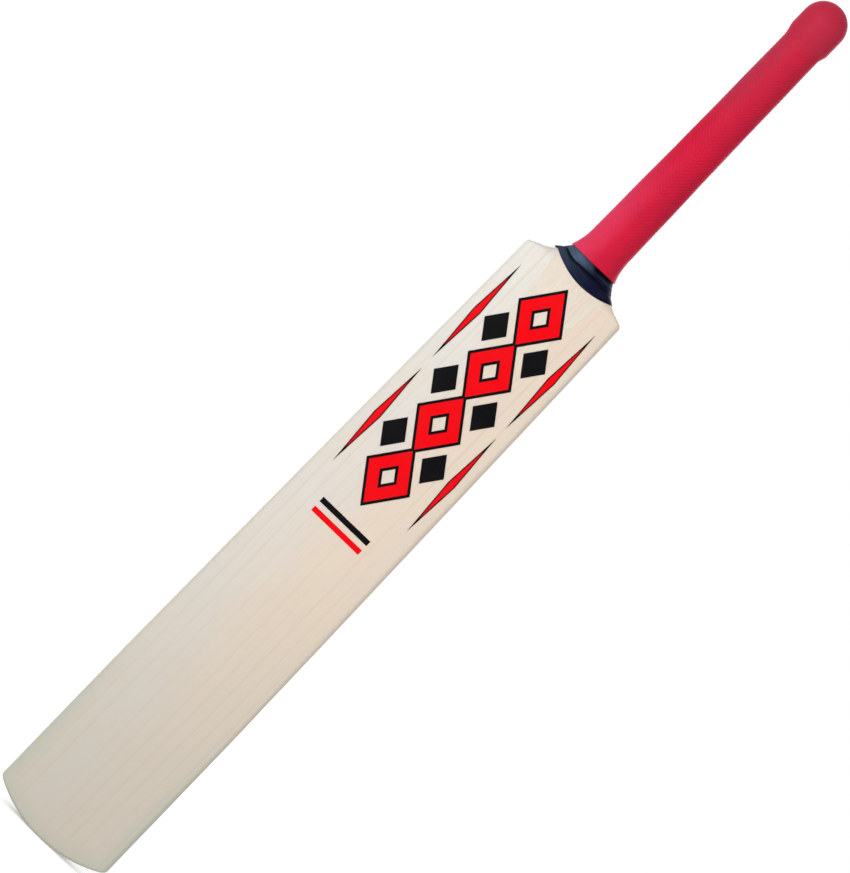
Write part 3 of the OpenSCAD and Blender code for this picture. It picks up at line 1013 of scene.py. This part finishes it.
def round_handle(angle, r, z):
    """Points round the handle's axis, by an angle that grows from the front's middle to the right."""
    return np.stack(np.broadcast_arrays(r * np.sin(angle), axis_y - r * np.cos(angle), z), axis=-1)


print("twine from", round(twine_low, 4), "to", round(end_start, 4), "m")

# %% Twine
TWINE_N = 28
TURN_ROWS = 4
BACK_ROWS = 14


def twine_finish():
    """Cream cotton twine with wax in it."""
    finish, tree, shader = new_finish("twine")
    wear = placed_group(tree, clouds, Patch_Density=80.0)
    cotton = mixed(tree, wear["Patches"], paint(226, 214, 186), paint(204, 188, 154))
    surfaced(tree, shader, cotton, spread(tree, wear["Patches"], 0.15, 0.6), 0.5, wear["Grains"], 0.00006)
    return finish


def twine_shape():
    """The sleeve of twine, scalloped outside and plain inside."""
    shape = Shape()
    angle = np.linspace(0, 2 * math.pi, TWINE_N, endpoint=False)
    heights = np.arange(twine_low, end_start, twine_pitch / TURN_ROWS)
    rows = []
    for z in heights:
        turn = np.abs(np.cos(math.pi * (z / twine_pitch - angle / (2 * math.pi))))
        r = handle_r(z) + between(twine_in + twine_hollow * twine_t, twine_out, turn**twine_roundness)
        rows.append(shape.add(round_handle(angle, r, z)))
    for z in np.linspace(heights[-1], twine_low, BACK_ROWS):
        rows.append(shape.add(round_handle(angle, handle_r(z) + twine_in, z)))
    shape.loft([*rows, rows[0]])
    return shape


make_piece("twine_winding", twine_shape(), twine_finish(), "twine_binding")

# %% [markdown]
# ## Neck tape
# Cloth tape is wound round the neck in laps: the lower lap's edge dips towards the face in an arc, the next
# lap lies over its upper half, and a deep crease runs where the two meet. Cloth simulation would need the
# laps to slide over the neck's flare, so the laps are laid directly: rows of points that climb the neck's own
# surface at a varying thickness.

# %% The tape's lower edge
tape_arc_r = 0.058
tape_shift = 0.005
arc_limit = 0.9
START_N = 300


def tape_low_z(x):
    """Height of the tape's lower edge at a distance from the middle."""
    from_lowest = np.minimum(np.abs(x - tape_shift), arc_limit * tape_arc_r)
    return blade_l + tape_arc_r - np.sqrt(tape_arc_r**2 - from_lowest**2)


def tape_start(walk, side):
    """Where on the neck's curve the tape's lower edge lies on one side, for each step of the walk."""
    t = np.linspace(0, throat_t, START_N)[:, None]
    points = neck_point(t, walk[None, :])
    above = points[..., 2] - tape_low_z(side * points[..., 0])
    return np.array([np.interp(0, above[:, i], t[:, 0]) for i in range(len(walk))])


edge_x = np.array([-0.02, tape_shift, 0.02])
print("tape edge at the left, its lowest and the right:", (tape_low_z(edge_x) * 1000).round(1), "mm")

# %% The tape's laps
lap_edge = 0.00042
thinnest = 0.00020
lap_step = 0.0013
crease_z = 0.5815
crease_rise = 0.0035
crease_waver = 0.0003
crease_w = 0.0012
fold_above = 0.0046
fold_w = 0.0010
end_lift = 0.0024
end_reach = 0.32
bulge_h = 0.00030
lap_h = 0.00026
crease_h = 0.00036
fold_h = 0.00016
ripple_h = 0.00006


def near(distance, width):
    """1 on a line, falling off softly to both sides of it."""
    return np.exp(-((distance / width) ** 2))


def lap_values(share, z, lower_edge, turn):
    """The tape's thickness at a height, a mask of painted shade in its crease and under the lip, and a
    painted highlight.
    """
    height = z - lower_edge
    sideways = np.arcsin(np.sin(turn))
    right = ramp(sideways, -0.55, 0.95)
    rise = crease_rise * ramp(-sideways, 0.4, 0.8)
    meet = crease_z + rise + crease_waver * np.sin(3 * turn + 1.0) - lower_edge
    upper = ramp(height, meet, lap_step)
    crease = near(height - meet, crease_w) * between(1.0, 0.55, ramp(sideways, 0.3, 0.6))
    # Painted shadow under the grip's lip, on the right
    painted_lip_shadow = ramp(share, 0.80, 0.10) * ramp(sideways, 0.02, 0.2)
    fold = near(height - meet - fold_above, fold_w) * right
    ripple = np.sin(9 * share + 5 * np.sin(turn)) * np.sin(7 * turn + 4 * share)
    bulge = np.sin(math.pi * np.clip(height / meet, 0, 1)) ** 0.8
    held = 1 - ramp(share, 0.9, 0.1)
    loose_end = end_lift * near(turn + math.pi / 2, end_reach) * np.clip(1 - share / 0.9, 0, 1)
    relief = bulge_h * bulge + lap_h * upper - crease_h * crease + fold_h * fold + ripple_h * ripple
    thickness = np.maximum(thinnest, lap_edge + (loose_end + relief) * held)
    # Painted highlight: the laps that face the left are lighter, the upper lap most
    lower_lap_highlight = 0.45 * (1 - upper) * (1 - ramp(sideways, -1.2, 1.6))
    faded = np.clip(upper * (1 - right) + lower_lap_highlight + 0.2 * fold, 0, 1)
    return thickness, np.maximum(crease, painted_lip_shadow), faded


front_t = lap_values(0.0, blade_l, blade_l, 0.0)[0]
print("tape at the front's edge is", round(float(front_t) * 1000, 2), "mm thick")

# %% Tape shape
TAPE_N = 180
TAPE_ROWS = 56
UNDER_ROWS = 12
edge_waver = 0.004
tuck_h = 0.004
tuck_t = 0.0004
tape_seat = 0.00003


def lifted(points, thickness):
    """Points moved straight away from the handle's axis."""
    out = points[..., :2] - np.array([0, axis_y])
    out = out / np.linalg.norm(out, axis=-1, keepdims=True)
    moved = points.copy()
    moved[..., :2] += out * thickness[..., None]
    return moved


def tape_shape():
    """The wound tape: outside from the lower edge up under the grip, then back down along the neck."""
    shape = Shape()
    half = np.linspace(0, HALF_WALK, TAPE_N)
    turn_right = math.pi * half / HALF_WALK
    wobble = edge_waver * np.sin(6 * turn_right) * np.sin(turn_right)
    starts = [tape_start(half, side) + wobble for side in (1, -1)]
    turn = np.concatenate([turn_right, -turn_right[-2:0:-1]])

    def on_neck(share):
        right, left = [neck_point(between(start, throat_t, share), half) for start in starts]
        return np.concatenate([right, left[-2:0:-1] * MIRROR])

    lower_edge = on_neck(0)[:, 2]
    rows = []
    for share in np.linspace(0, 1, TAPE_ROWS):
        bare = on_neck(share)
        thickness, crease, faded = lap_values(share, bare[:, 2], lower_edge, turn)
        height = bare[:, 2] - lower_edge
        rows.append(shape.add(lifted(bare, thickness), crease=crease, faded=faded, height=height))
    plain = {name: np.zeros_like(turn) for name in ("crease", "faded", "height")}
    tuck_z = throat_z + tuck_h
    tuck_r = handle_r(tuck_z) - handle_r(throat_z) + throat_r
    for wall in (tuck_t / 2, -tuck_t / 2):
        rows.append(shape.add(round_handle(turn, tuck_r + wall, tuck_z), **plain))
    for share in np.linspace(1, 0, UNDER_ROWS):
        rows.append(shape.add(lifted(on_neck(share), np.full(len(turn), tape_seat)), **plain))
    shape.loft([*rows, rows[0]])
    return shape


wound_tape = tape_shape()
print("tape of", wound_tape.count, "points")

# %% Tape finish
threads_round = 200
thread_pitch = 0.0007


def tape_finish():
    """Navy cloth tape with a dull shine, woven across and along its winding, with painted highlights and
    painted shade.
    """
    finish, tree, shader = new_finish("neck_tape")
    wear = placed_group(tree, clouds, Patch_Density=120.0)
    x, y, _ = place_in_bat(tree)
    height = stored(tree, "height")
    angle = calc(tree, "ARCTAN2", calc(tree, "SUBTRACT", y, axis_y), x)
    weft = calc(tree, "SINE", times(tree, angle, threads_round))
    warp = calc(tree, "SINE", times(tree, height, 2 * math.pi / thread_pitch))
    wound = node(tree, "CombineXYZ", {0: x, 1: y, 2: height})
    streaks = fade(tree, noise(tree, stretched(tree, wound, 90, 90, 1500)), 0.38, 0.66)
    cloth = mixed(tree, streaks, paint(10, 12, 33), paint(25, 28, 54))
    # Painted highlight: the laps turn blue-grey where they face the key lamp
    cloth = tinted(tree, cloth, stored(tree, "faded"), spread(tree, streaks, 0.35, 0.65), paint(80, 99, 121))
    # Painted shade: near black in the crease and under the grip's lip
    cloth = mixed(tree, stored(tree, "crease"), cloth, paint(1, 2, 11))
    weave = times(tree, weft, warp)
    surfaced(tree, shader, cloth, spread(tree, wear["Patches"], 0.18, 0.50), 0.03, weave, 0.00004)
    return finish


make_piece("wound_tape", wound_tape, tape_finish(), "neck_tape", crease_degrees=60)

# %% [markdown]
# ## Grip
# The grip is a thin rubber tube, moulded with fine ribs that meet in chevrons along the front and the back,
# and with a smooth collar rolled over the end of the handle. Ribs from bump alone would vanish on the
# outline, so they are real: the tube's radius rises and falls from each slanted line to the next.

# %% Sizes of the grip
grip_wall = 0.0018
lip_wall = 0.0012
collar_wall = 0.00405
collar_start = {"left": 0.8125, "right": 0.8142}
collar_end = {"left": 0.8245, "right": 0.8222}
vent_r = 0.004
vent_wall = 0.0008
vent_chamfer = 0.0006
waist = 0.0004
waist_z = 0.715
waist_reach = 0.055
grip_in = twine_out + layer_gap
neck_top = blade_l + neck_h
collar_r = end_r + grip_in + collar_wall
dome_z = overall_l - math.sqrt(collar_r**2 - vent_r**2)
print("collar radius", round(collar_r * 1000, 2), "mm, dome from", round(dome_z * 1000, 1), "mm")

# %% Ribs and collar
rib_pitch = 0.0034
rib_h = 0.00022
rib_turn_r = 0.0165
rib_gap = 0.008
rib_fade = 0.045
rib_stop = 2.2
hand_press = 0.00008


def rib_height(angle, z):
    """0 in a groove and 1 on a rib, with ribs that rise to both sides of the front and of the back."""
    from_apex = math.pi / 2 - np.abs(np.abs(angle) - math.pi / 2)
    phase = (z - rib_turn_r * from_apex) / rib_pitch
    return (0.5 + 0.5 * np.cos(2 * math.pi * phase)) ** 0.8


def collar_share(angle, z):
    """How far the collar has risen out of the tube: gently on the left, more steeply on the right."""
    left = 0.5 - 0.5 * np.sin(angle)
    start = between(collar_start["right"], collar_start["left"], left)
    end = between(collar_end["right"], collar_end["left"], left)
    return ramp(z, start, end - start)


def tube_radius(angle, z):
    """The grip's outer radius, and how deep a point lies in a groove."""
    inner = handle_r(z) + grip_in
    wall = between(lip_wall, grip_wall, np.clip((z - throat_z) / (neck_top - throat_z), 0, 1))
    wall = wall - waist * near(z - waist_z, waist_reach)
    collar = collar_share(angle, z)
    ribbed = ramp(z - throat_z, rib_gap, rib_fade) * (1 - smooth(collar * rib_stop))
    depth = rib_h * (1 - rib_height(angle, z)) * ribbed
    # Hands have pressed the tube a little out of round
    soft = hand_press * np.sin(41 * z + 2 * angle) * np.sin(73 * z)
    return between(inner + wall, collar_r, collar) - depth + soft * (1 - collar), depth / rib_h


print("radius at the waist", round(float(tube_radius(0.0, waist_z)[0]) * 1000, 2), "mm")

# %% Grip shape
GRIP_N = 196
GRIP_ROWS = 430
LIP_ROWS = 7
DOME_ROWS = 25
END_ROWS = 9
INSIDE_ROWS = 23
end_from = math.radians(78)
lip_dip = 0.0016
lip_flare = 0.6
lip_reach = 0.016
lip_half = lip_wall / 2
lip_top = throat_z + lip_half


def dipped(angle, r, z):
    """Points of the tube, with its lip rolled a little further down over the neck at the front."""
    dip = lip_dip * (0.5 + 0.5 * np.cos(angle)) ** 2 * (1 - ramp(z, throat_z, lip_reach))
    return round_handle(angle, r + lip_flare * dip, z - dip)


def inside_profile():
    """Radius and height down the inside of the tube, from the vent to the lip."""
    floor_z = end_top + grip_in
    inner_round = end_round + grip_in
    profile = [(vent_r, floor_z + vent_wall), (vent_r + vent_chamfer, floor_z)]
    for a in np.linspace(end_from, 0, END_ROWS):
        profile.append((end_r - end_round + inner_round * math.cos(a), end_start + inner_round * math.sin(a)))
    for z in steps(end_start, lip_top, INSIDE_ROWS):
        profile.append((handle_r(z) + grip_in, z))
    return profile


def grip_shape():
    """The whole tube: lip, ribbed outside, collar, dome, vent and plain inside."""
    shape = Shape()
    angle = np.linspace(-math.pi, math.pi, GRIP_N, endpoint=False)
    plain = np.zeros(GRIP_N)
    rows = []
    lip_r = handle_r(throat_z) + grip_in + lip_half
    for a in np.linspace(math.pi, 2 * math.pi, LIP_ROWS)[1:-1]:
        points = dipped(angle, lip_r + lip_half * math.cos(a), throat_z + lip_half * (1 + math.sin(a)))
        rows.append(shape.add(points, groove=plain))
    for z in np.linspace(lip_top, dome_z, GRIP_ROWS):
        r, groove = tube_radius(angle, z)
        rows.append(shape.add(dipped(angle, r, z), groove=groove))
    for a in steps(0, math.acos(vent_r / collar_r), DOME_ROWS):
        points = round_handle(angle, collar_r * math.cos(a), dome_z + collar_r * math.sin(a))
        rows.append(shape.add(points, groove=plain))
    for r, z in inside_profile():
        rows.append(shape.add(dipped(angle, r, z), groove=plain))
    shape.loft([*rows, rows[0]])
    return shape


ribbed_grip = grip_shape()
print("grip of", ribbed_grip.count, "points")

# %% Grip finish
def grip_finish():
    """Crimson rubber, duller in the grooves, with painted shade there and higher up, and a painted highlight
    low on the left.
    """
    finish, tree, shader = new_finish("grip_rubber")
    wear = placed_group(tree, clouds, Patch_Density=38.0)
    groove = stored(tree, "groove")
    x, y, z = place_in_bat(tree)
    rubber = mixed(tree, wear["Patches"], paint(211, 21, 57), paint(202, 25, 59))
    # Painted shade: darker in the grooves
    rubber = tinted(tree, rubber, groove, 0.28, paint(160, 10, 40))
    # Painted shade: darker towards the handle's end, away from the key lamp
    rubber = tinted(tree, rubber, fade(tree, z, 0.70, 0.80), 0.7, paint(192, 32, 60))
    on_front = fade(tree, y, axis_y + 0.008, axis_y - 0.004)
    on_left = times(tree, fade(tree, x, 0.003, -0.018), on_front)
    # Painted highlight: paler and pinker low on the front's left
    painted_pink_highlight = times(tree, on_left, fade(tree, z, 0.705, 0.620))
    rubber = tinted(tree, rubber, painted_pink_highlight, 0.66, paint(229, 64, 102))
    # Painted shade: darker higher up on the front's left
    painted_shade_upper_left = times(tree, on_left, fade(tree, z, 0.715, 0.765))
    rubber = tinted(tree, rubber, painted_shade_upper_left, 0.55, paint(172, 52, 76))
    rubber = mixed(tree, fade(tree, z, 0.804, 0.822), rubber, paint(186, 38, 64))
    roughness = spread(tree, groove, 0.10, spread(tree, wear["Patches"], 0.10, 0.56))
    surfaced(tree, shader, rubber, roughness, 0.11, wear["Grains"], 0.00005)
    shader.inputs["Sheen Weight"].default_value = 0.12
    shader.inputs["Sheen Roughness"].default_value = 0.4
    shader.inputs["Sheen Tint"].default_value = paint(255, 130, 180)
    return finish


make_piece("ribbed_grip", ribbed_grip, grip_finish(), "grip", crease_degrees=70)

# %% [markdown]
# ## Labels
# The face carries thin vinyl: a chain of red lozenges edged in black, black diamonds beside it, slim red
# spindles near the sides, and two bars. Painting them into the willow would leave no edge to catch the light,
# so each is a thin closed sheet that follows the face's crown. A lozenge with a window is made of rings, a
# filled one of a square grid turned on its corner.

# %% Label sizes
label_t = 0.00025
chain_drop = 0.008
chain_n = 4
chain_l = 0.060
chain_w = 0.044
chain_lap = 0.006
edging = 0.0022
chain_window = 0.26
side_l = 0.030
side_inner = 0.009
side_gap = 0.0037
spindle_l = 0.095
spindle_w = 0.0066
spindle_edging = 0.0009
spindle_inset = 0.0097
spindle_pitch = 0.106
bar_w = 0.048
bar_h = 0.0044
bar_drop = 0.016
bar_pitch = 0.009
chain_pitch = chain_l - chain_lap
chain_half = ((chain_n - 1) * chain_pitch + chain_l) / 2
chain_z = blade_l - chain_drop - chain_half
spindle_x = shoulder_w / 2 - spindle_inset
side_outer = spindle_x - spindle_w / 2 - side_gap
print("chain from", round(chain_z - chain_half, 3), "to", round(chain_z + chain_half, 3), "m")

# %% Thin sheets on the face
press = 0.00002


def on_face(x, z, lift):
    """Points on the blade's face, lifted off it."""
    return stacked(x, face_crown * (x / half_width(z)) ** 2 - bow(z) - lift, z)


def lay_sheet(shape, x, z, level, ring=False):
    """Adds one sheet over a grid of places on the face. The columns of a ring close on themselves."""
    under = [shape.add(on_face(a, b, level * label_t + press)) for a, b in zip(x, z)]
    over = [shape.add(on_face(a, b, (level + 1) * label_t)) for a, b in zip(x, z)]
    shape.loft(over, closed=ring)
    shape.loft(under[::-1], closed=ring)
    shape.join(strip(under[0], over[0], ring), strip(over[-1], under[-1], ring))
    if not ring:
        for column in (0, -1):
            low_edge = np.array([row[column] for row in under])
            high_edge = np.array([row[column] for row in over])
            edge = strip(low_edge, high_edge, closed=False)
            shape.join(edge[:, ::-1] if column == 0 else edge)


def grid(columns, rows):
    """Places from -1 to 1 across and along."""
    return np.meshgrid(np.linspace(-1, 1, columns), np.linspace(-1, 1, rows))


def drawn_in(l, w, by):
    """The length and width of a lozenge drawn in by a width all round."""
    share = 1 - 2 * by * math.hypot(l, w) / (l * w)
    return l * share, w * share


print("red lozenge", [round(v * 1000, 1) for v in drawn_in(chain_l, chain_w, edging)], "mm")

# %% Lozenges
FULL_TURN = 2 * math.pi
RING_N = 97
WINDOW_ROWS = 8
TINY = 1e-9


def filled(shape, centre, l, w, level, count):
    """A filled lozenge."""
    a, b = grid(count, count)
    lay_sheet(shape, centre[0] + (a - b) * w / 4, centre[1] + (a + b) * l / 4, level)


def lozenge_r(size, across, along):
    """How far a lozenge's edge lies from its centre in a direction."""
    l, w = size
    return 1 / (np.abs(across) / (w / 2) + np.abs(along) / (l / 2))


def windowed(shape, centre, outer, inner, trims, level):
    """A lozenge with a lozenge window, its ends cut off where a neighbour laps over them."""
    cuts = [math.atan2(trim, outer[1] / 2 * (1 - 2 * trim / outer[0])) for trim in trims]
    cuts = np.array([*cuts, *(math.pi - cut for cut in cuts)])
    even = np.linspace(0, FULL_TURN, RING_N)[:-1]
    angle = np.unique(np.concatenate([even, cuts % FULL_TURN, -cuts % FULL_TURN]))
    across, along = np.cos(angle), np.sin(angle)
    limit = np.where(along > 0, *trims) / np.maximum(np.abs(along), TINY)
    far = np.minimum(lozenge_r(outer, across, along), limit)
    out = between(lozenge_r(inner, across, along), far, np.linspace(1, 0, WINDOW_ROWS)[:, None])
    lay_sheet(shape, centre[0] + out * across, centre[1] + out * along, level, ring=True)


print("lozenge edge straight up:", round(float(lozenge_r((chain_l, chain_w), 0.0, 1.0)) * 1000, 1), "mm")

# %% Label shapes
DIAMOND_N = 12
SPINDLE_N = 10
BAR_N = (25, 4)


def chain_shape(outer, inner, level, lapped):
    """The chain's lozenges, cut off where they lap if they do."""
    shape = Shape()
    end = outer[0] / 2
    cut = chain_pitch / 2 - press if lapped else end
    for i in range(chain_n):
        z = chain_z + (i - (chain_n - 1) / 2) * chain_pitch
        trims = (end if i == chain_n - 1 else cut, end if i == 0 else cut)
        windowed(shape, (0, z), outer, inner, trims, level)
    return shape


def diamonds_shape():
    """Black diamonds in the notches of the chain."""
    shape = Shape()
    for side in (-1, 1):
        for i in range(chain_n - 1):
            centre = (side * (side_inner + side_outer) / 2, chain_z + (i - (chain_n - 2) / 2) * chain_pitch)
            filled(shape, centre, side_l, side_outer - side_inner, 0, DIAMOND_N)
    return shape


def spindles_shape(side, l, w, level):
    """Two spindles along a side of the blade."""
    shape = Shape()
    for end in (-1, 1):
        filled(shape, (side * spindle_x, chain_z + end * spindle_pitch / 2), l, w, level, SPINDLE_N)
    return shape


def bar_shape(i):
    """A bar below the chain."""
    shape = Shape()
    a, b = grid(*BAR_N)
    z = chain_z - chain_half - bar_drop - i * bar_pitch
    lay_sheet(shape, a * bar_w / 2, z + b * bar_h / 2, 0)
    return shape


backing = (chain_l, chain_w)
window = (chain_l * chain_window, chain_w * chain_window)
red_outer = drawn_in(*backing, edging)
red_window = drawn_in(*window, -edging)
red_spindle = drawn_in(spindle_l, spindle_w, spindle_edging)
print("red window", [round(v * 1000, 1) for v in red_window], "mm")

# %% Vinyl pieces
def vinyl_finish(name, colour, faded):
    """Satin printed vinyl, a little uneven in tone and shine."""
    finish, tree, shader = new_finish(name)
    wear = placed_group(tree, clouds, Patch_Density=55.0)
    vinyl = tinted(tree, colour, wear["Patches"], 0.6, faded)
    surfaced(tree, shader, vinyl, spread(tree, wear["Patches"], 0.14, 0.34), 0.05, wear["Grains"], 0.00002)
    return finish


vinyls = {
    "red": vinyl_finish("label_red", paint(243, 6, 18), paint(236, 16, 24)),
    "black": vinyl_finish("label_black", paint(7, 7, 9), paint(15, 15, 16)),
}


def make_label(name, shape, colour, replaced):
    """A vinyl label in one of the two colours."""
    make_piece(name, shape, vinyls[colour], f"label_{replaced}")


make_label("chain_black", chain_shape(backing, window, 0, lapped=True), "black", "backing")
make_label("chain_red", chain_shape(red_outer, red_window, 1, lapped=False), "red", "lozenges")
make_label("diamonds_black", diamonds_shape(), "black", "diamonds")
for side, hand in ((-1, "left"), (1, "right")):
    dark = spindles_shape(side, spindle_l, spindle_w, 0)
    make_label(f"spindles_black_{hand}", dark, "black", f"spindle_backing_{hand}")
    make_label(f"spindles_red_{hand}", spindles_shape(side, *red_spindle, 1), "red", f"spindles_{hand}")
make_label("bar_upper", bar_shape(0), "black", "bar_black")
make_label("bar_lower", bar_shape(1), "red", "bar_red")
